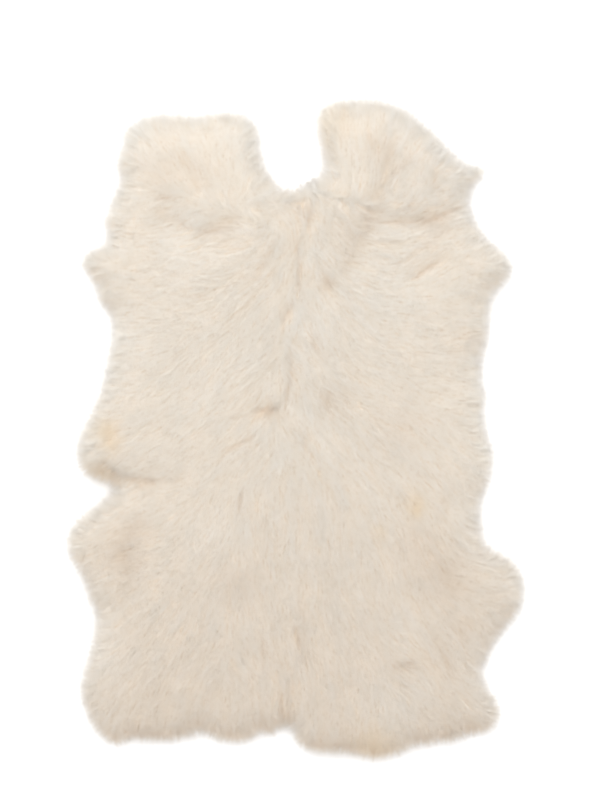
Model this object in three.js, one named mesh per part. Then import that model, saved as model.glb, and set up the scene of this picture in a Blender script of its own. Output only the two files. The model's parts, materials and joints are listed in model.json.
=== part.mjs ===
// A rabbit pelt rug: one tanned skin with its coat on, spread flat with the fur side up.
// Millimetres, +Z up. The origin lies on the floor, under the middle of the rug's bounding box.
// +Y points to the neck end, and +X to the right of someone who looks down on the fur.

import * as THREE from "three";

// Driving sizes.
const RUG_WIDTH = 301;
const RUG_LENGTH = 435;
const COAT_HEIGHT = 19;
const RIM_HEIGHT = 2;
// The coat rises from its rim to its full height over this distance, along a rounded shoulder.
const SHOULDER_WIDTH = 24;
const SHOULDER_ROUNDNESS = 2.2;

// How finely the surface is divided.
const EDGE_STEP = 5;
const RING_INSETS = [1.6, 4.5, 9, 14.5];
const RING_SPACING = 3.4;
const CREASE_STEP = 5;
const CREASE_ROWS = [0, -0.45, 0.45, -0.95, 0.95];
const GRID_STEP = 8.6;
const GRID_SPACING = 4.8;

// Colour and finish of the coat.
const COAT_COLOUR = 0xe9dfce;
const COAT_ROUGHNESS = 0.95;

// The edge, clockwise from the left shoulder as seen from above. Each row is a corner of the
// edge, and how far the edge bows out, or in where it is below 0, on its way to the next corner.
const EDGE = {
  leftShoulder: [
    { x: -114, y: 195, bow: 2.5 },
    { x: -92, y: 207, bow: 0.7 },
    { x: -65, y: 206, bow: 1.5 },
    { x: -35, y: 208, bow: 4 },
    { x: -23, y: 191, bow: -2 },
    { x: -17, y: 168, bow: -2 },
  ],
  neckHollow: [
    { x: -4, y: 157, bow: -3.2 },
    { x: 20, y: 171, bow: 0 },
  ],
  rightShoulder: [
    { x: 14, y: 200, bow: 3.7 },
    { x: 25, y: 216, bow: -1 },
    { x: 44, y: 218, bow: 1.5 },
    { x: 76, y: 209, bow: -0.5 },
    { x: 93, y: 195, bow: -0.8 },
  ],
  rightShoulderTuft: [
    { x: 113, y: 174, bow: 0.8 },
    { x: 127, y: 172, bow: 1.5 },
    { x: 117, y: 160, bow: -2 },
  ],
  rightForeleg: [
    { x: 117, y: 142, bow: -3 },
    { x: 137, y: 118, bow: 1.8 },
    { x: 144, y: 104, bow: 1.1 },
    { x: 131, y: 90, bow: -0.8 },
  ],
  rightFlank: [
    { x: 128, y: 69, bow: 1 },
    { x: 123, y: 46, bow: -1.4 },
    { x: 126, y: 22, bow: 0.7 },
    { x: 124, y: 9, bow: -0.7 },
    { x: 130, y: -13, bow: 1.3 },
    { x: 128, y: -35, bow: -2 },
    { x: 122, y: -56, bow: -1.3 },
  ],
  rightHindleg: [
    { x: 127, y: -78, bow: 0.9 },
    { x: 143, y: -86, bow: 2.4 },
    { x: 151, y: -105, bow: 2.6 },
    { x: 143, y: -126, bow: -2 },
    { x: 123, y: -159, bow: -2 },
  ],
  rightRump: [
    { x: 133, y: -177, bow: 3 },
    { x: 133, y: -194, bow: 1.8 },
    { x: 119, y: -201, bow: -2 },
    { x: 108, y: -204, bow: 1.3 },
    { x: 94, y: -205, bow: 1.8 },
    { x: 80, y: -207, bow: 1.3 },
    { x: 63, y: -215, bow: 1.4 },
    { x: 46, y: -216, bow: -1.4 },
    { x: 20, y: -213, bow: 1.5 },
    { x: 2, y: -207, bow: 1 },
  ],
  tailNick: [
    { x: -1, y: -198, bow: -0.5 },
    { x: -5, y: -194, bow: 0 },
  ],
  leftRump: [
    { x: -15, y: -201, bow: 1 },
    { x: -22, y: -199, bow: 2.6 },
    { x: -41, y: -206, bow: 1.8 },
    { x: -62, y: -198, bow: 2 },
    { x: -88, y: -205, bow: -0.4 },
    { x: -110, y: -204, bow: 4 },
    { x: -125, y: -204, bow: 1.5 },
    { x: -138, y: -184, bow: 2.4 },
    { x: -139, y: -159, bow: -1.2 },
  ],
  leftHindleg: [
    { x: -130, y: -120, bow: 1.1 },
    { x: -138, y: -103, bow: -1.3 },
    { x: -148, y: -85, bow: 2.2 },
    { x: -148, y: -65, bow: 1.7 },
    { x: -131, y: -51, bow: 0.8 },
  ],
  leftFlank: [
    { x: -118, y: -40, bow: -1.2 },
    { x: -133, y: -33, bow: 3.2 },
    { x: -144, y: -15, bow: 1.3 },
    { x: -136, y: 7, bow: -2 },
    { x: -123, y: 46, bow: -0.8 },
    { x: -120, y: 73, bow: -1.2 },
  ],
  leftForeleg: [
    { x: -129, y: 84, bow: 0.8 },
    { x: -130, y: 94, bow: 1.5 },
    { x: -142, y: 113, bow: 0 },
    { x: -123, y: 123, bow: -1.8 },
    { x: -126, y: 136, bow: 0.9 },
    { x: -115, y: 160, bow: -2.5 },
    { x: -117, y: 172, bow: 2 },
    { x: -113, y: 185, bow: -1.2 },
  ],
};

// Broad rises of the coat, and dips where the rise is below 0.
const MOUNDS = [
  { name: "withers", x: -4, y: 122, spread: 24, rise: 2.4 },
  { name: "back", x: 0, y: 66, spread: 26, rise: 2.6 },
  { name: "loin", x: 2, y: 12, spread: 28, rise: 1.8 },
  { name: "left shoulder", x: -56, y: 178, spread: 32, rise: 2 },
  { name: "right shoulder", x: 44, y: 184, spread: 26, rise: 2.2 },
  { name: "left ribs", x: -78, y: 38, spread: 40, rise: -1.6 },
  { name: "right ribs", x: 82, y: 44, spread: 38, rise: -1.4 },
  { name: "left haunch", x: -72, y: -118, spread: 46, rise: 1.8 },
  { name: "right haunch", x: 66, y: -124, spread: 46, rise: 2 },
  { name: "rump", x: 34, y: -186, spread: 30, rise: 1.4 },
];

// Partings and creases of the coat: troughs from one point to another.
const CREASES = [
  { name: "left shoulder fold, outer", x: -86, y: 141, toX: -62, toY: 129, wide: 11, deep: 4 },
  { name: "left shoulder fold, inner", x: -62, y: 129, toX: -38, toY: 137, wide: 11, deep: 4.5 },
  { name: "left shoulder parting", x: -71, y: 174, toX: -62, toY: 156, wide: 8, deep: 3 },
  { name: "neck swirl", x: -24, y: 149, toX: -12, toY: 142, wide: 9, deep: 3.5 },
  { name: "neck parting", x: 11, y: 152, toX: 6, toY: 134, wide: 8, deep: 3.5 },
  { name: "spine parting, front", x: 2, y: 121, toX: 4, toY: 86, wide: 8, deep: 3 },
  { name: "right shoulder trough, upper", x: 66, y: 200, toX: 60, toY: 172, wide: 10, deep: 3.5 },
  { name: "right shoulder trough, lower", x: 60, y: 172, toX: 53, toY: 152, wide: 9, deep: 4 },
  { name: "right neck parting", x: 53, y: 152, toX: 34, toY: 110, wide: 9, deep: 4.5 },
  { name: "right shoulder fold, inner", x: 58, y: 139, toX: 84, toY: 136, wide: 9, deep: 4 },
  { name: "right shoulder fold, outer", x: 84, y: 136, toX: 108, toY: 147, wide: 10, deep: 4.5 },
  { name: "right shoulder nick", x: 94, y: 170, toX: 91, toY: 156, wide: 8, deep: 3 },
  { name: "back hollow", x: 17, y: 93, toX: 23, toY: 98, wide: 10, deep: 4.5 },
  { name: "right rib slit", x: 80, y: 103, toX: 95, toY: 110, wide: 7, deep: 3.5 },
  { name: "loin hollow", x: -26, y: 15, toX: -7, toY: 12, wide: 10, deep: 3 },
  { name: "left flank fold, outer", x: -116, y: -39, toX: -96, toY: -36, wide: 11, deep: 5 },
  { name: "left flank fold, inner", x: -96, y: -36, toX: -76, toY: -32, wide: 9, deep: 3 },
  { name: "left hindleg hollow", x: -112, y: -78, toX: -106, toY: -102, wide: 14, deep: 4 },
  { name: "left haunch hollow", x: -113, y: -112, toX: -111, toY: -128, wide: 11, deep: 3 },
  { name: "right flank hollow", x: 100, y: -42, toX: 97, toY: -58, wide: 12, deep: 3.5 },
  { name: "right hindleg hollow", x: 97, y: -92, toX: 101, toY: -106, wide: 13, deep: 3.5 },
  { name: "right haunch parting", x: 90, y: -136, toX: 99, toY: -158, wide: 9, deep: 3 },
  { name: "right rump parting", x: 108, y: -170, toX: 115, toY: -188, wide: 9, deep: 3.5 },
  { name: "spine parting, rear", x: 4, y: -118, toX: 7, toY: -150, wide: 9, deep: 3 },
  { name: "tail parting", x: -3, y: -166, toX: -5, toY: -192, wide: 10, deep: 4 },
];

// The edge line: every span between two corners is a shallow bow, divided into even steps.
function edgeLine(corners) {
  const line = [];
  corners.forEach((from, i) => {
    const to = corners[(i + 1) % corners.length];
    const start = new THREE.Vector2(from.x, from.y);
    const chord = new THREE.Vector2(to.x, to.y).sub(start);
    const outward = new THREE.Vector2(-chord.y, chord.x).normalize();
    const steps = Math.max(2, Math.round(chord.length() / EDGE_STEP));
    for (let k = 0; k < steps; k += 1) {
      const along = k / steps;
      const bowed = 4 * from.bow * along * (1 - along);
      line.push(start.clone().addScaledVector(chord, along).addScaledVector(outward, bowed));
    }
  });
  return line;
}

// Hair rounds every corner: each point moves a quarter of the way to the middle of its neighbours.
function softened(line) {
  return line.map((point, i) => {
    const middle = line.at(i - 1).clone().add(line[(i + 1) % line.length]).divideScalar(2);
    return point.clone().lerp(middle, 0.25);
  });
}

// The line, centred on the origin and stretched to the rug's width and length.
function fitted(line) {
  const box = new THREE.Box2().setFromPoints(line);
  const middle = box.getCenter(new THREE.Vector2());
  const stretch = new THREE.Vector2(RUG_WIDTH, RUG_LENGTH).divide(box.getSize(new THREE.Vector2()));
  return line.map((point) => point.clone().sub(middle).multiply(stretch));
}

// Distance from a point to the straight stretch between two others.
function gapToSpan(point, from, to) {
  const span = to.clone().sub(from);
  const along = THREE.MathUtils.clamp(point.clone().sub(from).dot(span) / span.lengthSq(), 0, 1);
  return point.distanceTo(from.clone().addScaledVector(span, along));
}

function gapToEdge(point, edge) {
  return Math.min(...edge.map((from, i) => gapToSpan(point, from, edge[(i + 1) % edge.length])));
}

// A point is inside when a line drawn from it to the right crosses the edge an odd number of times.
function isInside(point, edge) {
  let inside = false;
  edge.forEach((from, i) => {
    const to = edge[(i + 1) % edge.length];
    if (from.y > point.y === to.y > point.y) return;
    const crossing = from.x + ((to.x - from.x) * (point.y - from.y)) / (to.y - from.y);
    if (crossing > point.x) inside = !inside;
  });
  return inside;
}

// Height of the coat above the floor.
function coatHeight(point, edge) {
  const inset = Math.min(gapToEdge(point, edge) / SHOULDER_WIDTH, 1);
  const shoulder = 1 - (1 - inset) ** SHOULDER_ROUNDNESS;
  let relief = 0;
  for (const mound of MOUNDS) {
    const away = point.distanceTo(mound) / mound.spread;
    relief += mound.rise * Math.exp(-(away ** 2));
  }
  for (const crease of CREASES) {
    const from = new THREE.Vector2(crease.x, crease.y);
    const to = new THREE.Vector2(crease.toX, crease.toY);
    const away = gapToSpan(point, from, to) / (crease.wide / 2);
    relief -= crease.deep * Math.exp(-(away ** 2));
  }
  return RIM_HEIGHT + (COAT_HEIGHT - RIM_HEIGHT + relief) * shoulder;
}

// Points along the edge, in rings beside it, along each crease, and in a grid over the rest.
function surfacePoints(edge) {
  const points = [...edge];
  const outermost = RING_INSETS[0];
  const addPoint = (point, spacing) => {
    const roomy = points.every((other) => other.distanceTo(point) >= spacing);
    if (roomy && isInside(point, edge)) points.push(point);
  };

  for (const inset of RING_INSETS) {
    edge.forEach((here, i) => {
      const along = edge[(i + 1) % edge.length].clone().sub(edge.at(i - 1)).normalize();
      const point = here.clone().addScaledVector(new THREE.Vector2(along.y, -along.x), inset);
      if (gapToEdge(point, edge) < 0.95 * inset) return;
      addPoint(point, inset === outermost ? 0.95 * outermost : RING_SPACING);
    });
  }

  for (const crease of CREASES) {
    const start = new THREE.Vector2(crease.x, crease.y);
    const span = new THREE.Vector2(crease.toX, crease.toY).sub(start);
    const across = new THREE.Vector2(-span.y, span.x).normalize();
    const steps = Math.max(1, Math.round(span.length() / CREASE_STEP));
    for (const row of CREASE_ROWS) {
      for (let k = 0; k <= steps; k += 1) {
        const middle = start.clone().addScaledVector(span, k / steps);
        const point = middle.addScaledVector(across, row * crease.wide);
        if (gapToEdge(point, edge) > RING_SPACING) addPoint(point, RING_SPACING);
      }
    }
  }

  const rowStep = (GRID_STEP * Math.sqrt(3)) / 2;
  for (let row = 0, y = -RUG_LENGTH / 2; y < RUG_LENGTH / 2; row += 1, y += rowStep) {
    const indent = row % 2 === 0 ? 0 : GRID_STEP / 2;
    for (let x = indent - RUG_WIDTH / 2; x < RUG_WIDTH / 2; x += GRID_STEP) {
      const point = new THREE.Vector2(x, y);
      if (gapToEdge(point, edge) > RING_INSETS.at(-1)) addPoint(point, GRID_SPACING);
    }
  }
  return points;
}

// A triangle with the circle through its three corners.
function circledTriangle(points, corners) {
  const [a, b, c] = corners.map((corner) => points[corner]);
  const ab = b.clone().sub(a);
  const ac = c.clone().sub(a);
  const twiceArea = 2 * ab.cross(ac);
  const centre = new THREE.Vector2(
    a.x + (ac.y * ab.lengthSq() - ab.y * ac.lengthSq()) / twiceArea,
    a.y + (ab.x * ac.lengthSq() - ac.x * ab.lengthSq()) / twiceArea,
  );
  return { corners, centre, reachSq: centre.distanceToSquared(a) };
}

// Delaunay triangles of the points, made by adding one point at a time (Bowyer and Watson).
function triangulated(points) {
  const far = 1000 * RUG_LENGTH;
  const outer = [[-far, -far], [far, -far], [0, far]].map(([x, y]) => new THREE.Vector2(x, y));
  const all = [...points, ...outer];
  const count = points.length;
  let triangles = [circledTriangle(all, [count, count + 1, count + 2])];
  points.forEach((point, added) => {
    const rim = new Map();
    triangles = triangles.filter(({ corners, centre, reachSq }) => {
      if (point.distanceToSquared(centre) > reachSq) return true;
      corners.forEach((from, i) => {
        const to = corners[(i + 1) % 3];
        if (!rim.delete(`${to} ${from}`)) rim.set(`${from} ${to}`, [from, to]);
      });
      return false;
    });
    for (const [from, to] of rim.values()) triangles.push(circledTriangle(all, [from, to, added]));
  });
  return triangles.map(({ corners }) => corners).filter((corners) => Math.max(...corners) < count);
}

// The upper face: the triangles that lie within the edge, facing up.
function upperFace(points, edge) {
  return triangulated(points).filter((corners) => {
    const centre = new THREE.Vector2();
    corners.forEach((corner) => centre.addScaledVector(points[corner], 1 / 3));
    return isInside(centre, edge);
  });
}

// The skin side lies flat on the floor, facing down.
function underside(edge) {
  return THREE.ShapeUtils.triangulateShape(edge, []).map(([a, b, c]) => {
    const turn = edge[b].clone().sub(edge[a]).cross(edge[c].clone().sub(edge[a]));
    return turn > 0 ? [a, c, b] : [a, b, c];
  });
}

// One closed body: the coat above, the flat underside, and the thin rim between them.
function peltGeometry() {
  const edge = fitted(softened(edgeLine(Object.values(EDGE).flat())));
  const points = surfacePoints(edge);
  const floor = points.length;
  const positions = points.flatMap((point) => [point.x, point.y, coatHeight(point, edge)]);
  positions.push(...edge.flatMap((point) => [point.x, point.y, 0]));

  const faces = upperFace(points, edge);
  faces.push(...underside(edge).map((corners) => corners.map((corner) => corner + floor)));
  edge.forEach((_, here) => {
    const next = (here + 1) % edge.length;
    faces.push([floor + here, here, next], [floor + here, next, floor + next]);
  });

  const geometry = new THREE.BufferGeometry();
  geometry.setAttribute("position", new THREE.Float32BufferAttribute(positions, 3));
  geometry.setIndex(faces.flat());
  geometry.computeVertexNormals();
  return geometry;
}

const coatMaterial = new THREE.MeshStandardMaterial({
  color: COAT_COLOUR,
  roughness: COAT_ROUGHNESS,
  metalness: 0,
});

const pelt = new THREE.Mesh(peltGeometry(), coatMaterial);
pelt.name = "pelt";

const rug = new THREE.Group();
rug.add(pelt);

export default rug;
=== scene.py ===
"""Rabbit pelt rug: a tanned skin, its soft down and its combed guard hair, on a pale floor.

Metres, +Z up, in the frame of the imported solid. +Y is the neck end.
"""

import json
import math

import bpy
import numpy as np
from bpy.props import FloatProperty, FloatVectorProperty, IntProperty, PointerProperty
from mathutils.bvhtree import BVHTree
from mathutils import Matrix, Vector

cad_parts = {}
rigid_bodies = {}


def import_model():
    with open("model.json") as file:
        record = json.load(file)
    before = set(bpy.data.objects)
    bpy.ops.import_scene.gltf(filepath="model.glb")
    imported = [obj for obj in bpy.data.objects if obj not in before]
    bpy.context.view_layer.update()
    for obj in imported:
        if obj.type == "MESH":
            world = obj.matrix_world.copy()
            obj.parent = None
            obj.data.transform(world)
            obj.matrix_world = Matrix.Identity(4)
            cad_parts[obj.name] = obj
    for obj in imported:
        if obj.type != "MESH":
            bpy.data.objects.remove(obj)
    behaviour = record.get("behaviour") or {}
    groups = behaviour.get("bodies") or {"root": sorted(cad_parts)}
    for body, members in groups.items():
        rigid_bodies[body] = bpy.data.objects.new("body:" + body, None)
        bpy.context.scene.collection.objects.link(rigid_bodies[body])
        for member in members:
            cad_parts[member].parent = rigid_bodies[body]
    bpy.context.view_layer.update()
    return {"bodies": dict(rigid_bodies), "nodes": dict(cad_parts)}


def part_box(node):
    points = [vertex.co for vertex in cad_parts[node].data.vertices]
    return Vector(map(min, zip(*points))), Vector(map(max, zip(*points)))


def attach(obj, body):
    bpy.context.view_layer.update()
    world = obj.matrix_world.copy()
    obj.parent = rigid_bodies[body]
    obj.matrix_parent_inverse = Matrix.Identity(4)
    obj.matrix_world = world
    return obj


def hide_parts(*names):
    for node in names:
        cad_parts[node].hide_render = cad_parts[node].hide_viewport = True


bl_info = {
    "name": "Rabbit Pelt Rug",
    "version": (1, 0, 0),
    "blender": (4, 5, 0),
    "location": "3D View > Sidebar > Pelt Rug",
    "description": "Lays out a rabbit pelt rug: skin, down, combed hair and the stage",
    "category": "Add Mesh",
}

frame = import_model()
SOLID = frame["nodes"]["pelt"]
BODY = next(iter(frame["bodies"]))

MM = 0.001
GRID_STEP = 1.0 * MM
GRID_MARGIN = 9 * MM

# The coat's surface: its height at the rim, the blurs that give its form without facets and its
# broad form, in grid steps, how deep a whole hollow is (where the painted shade in it is full),
# and how far the coat drops in a crease.
RIM_HEIGHT = 2 * MM
FINE_BLUR, BROAD_BLUR = 2.0, 6
WHOLE_HOLLOW = 1.6 * MM
CREASE_DIP = 0.6 * MM

# How the coat was combed. Each row is a spot on the rug and the way the hair points there:
# x and y in millimetres, heading in degrees counter-clockwise from +X.
COMB = {
    "left shoulder": (
        (-112, 180, 150), (-116, 150, 178), (-96, 184, 130), (-71, 171, 117), (-53, 190, 104),
        (-47, 164, 93), (-33, 186, 86), (-30, 160, 62), (-15, 147, -15), (-86, 202, 122),
    ),
    "left chest": (
        (-80, 140, 205), (-58, 130, 182), (-36, 132, 172), (-129, 112, 180), (-89, 112, 185),
        (-56, 118, 183), (-20, 110, 231), (-36, 100, 208), (-104, 128, 184),
    ),
    "left ribs": (
        (-30, 90, 218), (-5, 77, 238), (-50, 75, 206), (-82, 85, 193), (-109, 79, 187),
        (-94, 56, 205), (-116, 46, 184), (-76, 39, 220), (-47, 39, 226), (-23, 51, 237),
    ),
    "left loin": (
        (-96, -1, 208), (-129, 0, 196), (-63, -11, 220), (-36, -5, 217), (-23, -20, 246),
        (-43, -28, 236), (-116, -23, 212), (-89, -38, 204), (-134, -20, 205), (-66, 12, 218),
    ),
    "left thigh": (
        (-73, -67, 235), (-36, -51, 260), (-17, -51, 268), (-116, -73, 197), (-142, -71, 186),
        (-96, -77, 209), (-122, -86, 206), (-56, -80, 243), (-30, -86, 268), (-109, -102, 216),
    ),
    "left haunch": (
        (-102, -119, 222), (-63, -100, 242), (-83, -130, 227), (-69, -139, 234), (-96, -142, 240),
        (-122, -139, 216), (-130, -160, 204), (-116, -179, 246), (-76, -179, 252),
        (-56, -126, 262), (-30, -120, 277), (-24, -145, 288), (-43, -192, 268), (-96, -199, 258),
        (-10, -185, 274), (-128, -190, 232),
    ),
    "spine": (
        (2, 131, 262), (2, 98, 268), (3, 65, 275), (3, 19, 281), (9, 70, 304), (10, 39, 311),
        (3, -15, 286), (17, -22, 300), (17, -67, 276), (3, -113, 271), (2, -137, 280),
    ),
    "right shoulder": (
        (34, 201, 92), (46, 193, 87), (30, 184, 95), (56, 204, 80), (64, 193, 74), (72, 171, 56),
        (83, 180, 60), (94, 167, 68), (108, 170, 36), (122, 171, 6), (36, 164, 94), (52, 172, 84),
    ),
    "right chest": (
        (30, 141, 288), (69, 139, 8), (96, 141, 16), (88, 108, 27), (102, 131, 30),
        (122, 118, 12), (135, 106, 0), (50, 108, 356), (28, 100, 300), (48, 128, 330),
    ),
    "right ribs": (
        (69, 79, 354), (102, 65, 2), (122, 65, 0), (39, 61, 306), (30, 85, 318), (43, 32, 326),
        (30, -14, 310), (56, -27, 311), (69, 15, 344), (80, 9, 320), (102, 28, 350),
        (112, 13, 353), (122, 6, 355), (66, 50, 344),
    ),
    "right loin": (
        (89, -1, 323), (96, -34, 306), (116, -20, 332), (106, -47, 313), (56, -60, 300),
        (109, -77, 318), (76, -73, 278), (43, -93, 285), (96, -80, 300),
    ),
    "right haunch": (
        (116, -97, 350), (137, -103, 357), (56, -113, 286), (109, -129, 307), (120, -139, 313),
        (36, -133, 311), (56, -146, 304), (100, -150, 301), (17, -146, 284), (86, -112, 294),
    ),
    "rump": (
        (102, -176, 309), (113, -184, 303), (124, -180, 326), (89, -184, 286), (76, -169, 348),
        (63, -184, 272), (17, -179, 272), (36, -205, 270), (96, -203, 275), (30, -165, 280),
    ),
}
COMB_REACH = 11 * MM

# Near the edge the hair turns outward: how far in that starts, and how fully it turns.
LEAVING_REACH = 15 * MM
LEAVING_SHARE = 0.85

# How the combed hair wanders: degrees, the size of its bends in millimetres, and a seed.
WANDER = ((9, 22, 11), (4, 9, 12))
RUFFLE_SIZE, RUFFLE_SEED = 6 * MM, 13

# Streaks in the coat: strength, width in grid steps, length in millimetres, and a seed.
STREAKS = ((0.8, 0.7, 14, 14), (0.6, 2.0, 24, 15))

# Spots where the hair is ruffled: x, y and reach in millimetres, and how far it turns in degrees.
RUFFLED = (
    (-2, 132, 20, 34), (2, 98, 20, 44), (2, 62, 20, 40), (4, 20, 24, 24), (8, -20, 26, 18),
    (-18, 150, 12, 60), (30, 140, 16, 30), (40, 100, 14, 24), (92, 164, 18, 26),
    (72, 150, 14, 34), (-60, 136, 18, 24), (-14, 14, 10, 40), (80, -160, 18, 24),
)

# Creases where the coat parts: how deep each is, from 0 to 1, and the spots that it runs through,
# x and y in millimetres.
CREASES = (
    (0.7, (11, 143), (8, 134)),
    (0.4, (51, 145), (49, 132), (39, 122), (32, 107), (34, 99)),
    (0.6, (0, 122), (3, 107), (2, 91)),
    (0.5, (-15, 118), (-25, 99)),
    (0.8, (-2, 81), (-8, 70)),
    (0.6, (12, 58), (14, 50)),
    (0.6, (-3, 48), (-2, 37), (-6, 19)),
    (0.8, (-26, 11), (-18, 11), (-12, 13)),
    (0.7, (22, 23), (20, 13)),
    (0.6, (-79, 138), (-70, 132), (-58, 128), (-48, 132)),
    (0.6, (-89, 151), (-81, 151)),
    (0.8, (75, 147), (76, 145)),
    (0.6, (57, 135), (88, 136), (111, 147)),
    (0.8, (78, 99), (91, 108)),
    (0.4, (70, 108), (88, 122)),
    (0.6, (57, 161), (76, 176)),
    (0.6, (47, 194), (51, 184)),
    (0.5, (91, 173), (92, 157)),
    (0.9, (-126, -23), (-116, -32), (-93, -35)),
    (0.7, (-36, -43), (-37, -54)),
    (0.8, (0, -132), (3, -143)),
    (0.6, (-9, -174), (-9, -188)),
    (0.6, (64, -157), (80, -153)),
    (0.6, (99, -149), (101, -155)),
    (0.5, (-21, -139), (-21, -151)),
    (0.6, (-29, -6), (-40, -12), (-46, -16)),
    (0.6, (6, -8), (7, -14)),
    (0.5, (-57, -173), (-56, -176)),
)
CREASE_WIDTH = 1.4 * MM

# Soft marks in the coat, by colour: x, y and reach in millimetres, and how strong each is.
YELLOW_MARKS = (
    (-121, 0, 7, 1.0), (-118, -9, 6, 0.7), (-127, -30, 8, 0.6), (27, 200, 12, 0.4),
    (78, -47, 7, 0.8), (52, -206, 12, 0.8), (78, -52, 4, 0.6), (55, -66, 4, 0.6),
)
TAN_MARKS = (
    (-112, -84, 13, 0.35), (-106, -66, 9, 0.3), (-18, 11, 4, 0.8), (98, -98, 20, 0.25),
    (80, -76, 14, 0.25), (-88, 168, 14, 0.2), (-62, 166, 12, 0.12), (5, 146, 7, 0.35),
    (22, 96, 2.5, 1.0), (-39, 9, 2.5, 0.6), (-62, 87, 2.5, 0.5), (94, 136, 9, 0.4),
    (58, 184, 8, 0.3), (48, 140, 7, 0.3),
    (-50, 128, 10, 0.2), (36, 128, 8, 0.2), (70, 0, 16, 0.2), (-40, -100, 16, 0.2),
    (110, -130, 8, 0.2), (30, 20, 12, 0.15), (118, 60, 10, 0.25),
)
# Painted shade: a greyer patch on the right shoulder, where the lamp falls strongest.
PAINTED_SHADE_MARKS = ((80, 168, 40, 0.12),)
# Those along the spine, at x near 0 from y 112 to -18, are painted highlight on its ridge.
PALE_MARKS = (
    (-70, 120, 22, 0.6), (-100, 196, 16, 0.5), (-40, 190, 14, 0.4), (-100, 60, 18, 0.4),
    (60, 90, 26, 0.5), (20, 70, 14, 0.4), (100, 190, 18, 0.3), (-50, -70, 18, 0.3),
    (-40, 50, 16, 0.3), (70, -130, 14, 0.3), (60, -185, 18, 0.5), (-120, -150, 14, 0.4),
    (-60, 20, 16, 0.3), (4, 112, 7, 0.5), (4, 88, 7, 0.5), (3, 66, 7, 0.6), (1, 44, 7, 0.5),
    (6, 10, 9, 0.5), (18, -8, 10, 0.4), (-8, -18, 10, 0.3), (-64, 136, 6, 0.6), (82, -170, 7, 0.5),
)

# Where the coat lies sleek: x, y and reach in millimetres, and how sleek it is.
SLEEK = (
    (-95, 120, 40, 0.8), (-85, 70, 42, 1.0), (-92, 20, 42, 1.0), (-85, -30, 36, 0.7),
    (-80, -85, 36, 0.6), (95, 105, 30, 0.7), (95, 60, 40, 1.0), (88, 10, 38, 1.0),
    (80, -40, 34, 0.7), (75, -95, 34, 0.4), (-75, 175, 30, 0.6),
)


def smooth_step(value):
    """0 below 0, 1 above 1, and a soft curve between."""
    held = np.clip(value, 0.0, 1.0)
    return held * held * (3.0 - 2.0 * held)


def unit(vectors):
    """The vectors at length 1."""
    return vectors / np.maximum(np.linalg.norm(vectors, axis=-1, keepdims=True), 1e-12)


def turned(vectors, angle):
    """Flat vectors turned counter-clockwise by angle, in radians."""
    cos, sin = np.cos(angle), np.sin(angle)
    x, y = vectors[..., 0], vectors[..., 1]
    return np.stack([x * cos - y * sin, x * sin + y * cos], axis=-1)


def nearness(places, x, y, reach):
    """1 at a spot of the rug, and less with the distance; x, y and reach in millimetres."""
    away = places - np.array([x, y]) * MM
    return np.exp(-((away**2).sum(-1)) / (reach * MM) ** 2)


def blurred(grid, reach):
    """The grid softened over a reach in grid steps."""
    offsets = np.arange(-int(3 * reach) - 1, int(3 * reach) + 2)
    kernel = np.exp(-0.5 * (offsets / reach) ** 2)
    kernel /= kernel.sum()
    for axis in (0, 1):
        grid = np.apply_along_axis(np.convolve, axis, grid, kernel, mode="same")
    return grid


def between(grid, base, share):
    """The grid's values a share of the way, right and up, from the spots of base to the next."""
    column, row = base[..., 0], base[..., 1]
    u, v = share[..., 0], share[..., 1]
    if grid.ndim == 3:
        u, v = u[..., None], v[..., None]
    lower = grid[row, column] * (1 - u) + grid[row, column + 1] * u
    upper = grid[row + 1, column] * (1 - u) + grid[row + 1, column + 1] * u
    return lower * (1 - v) + upper * v


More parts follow.
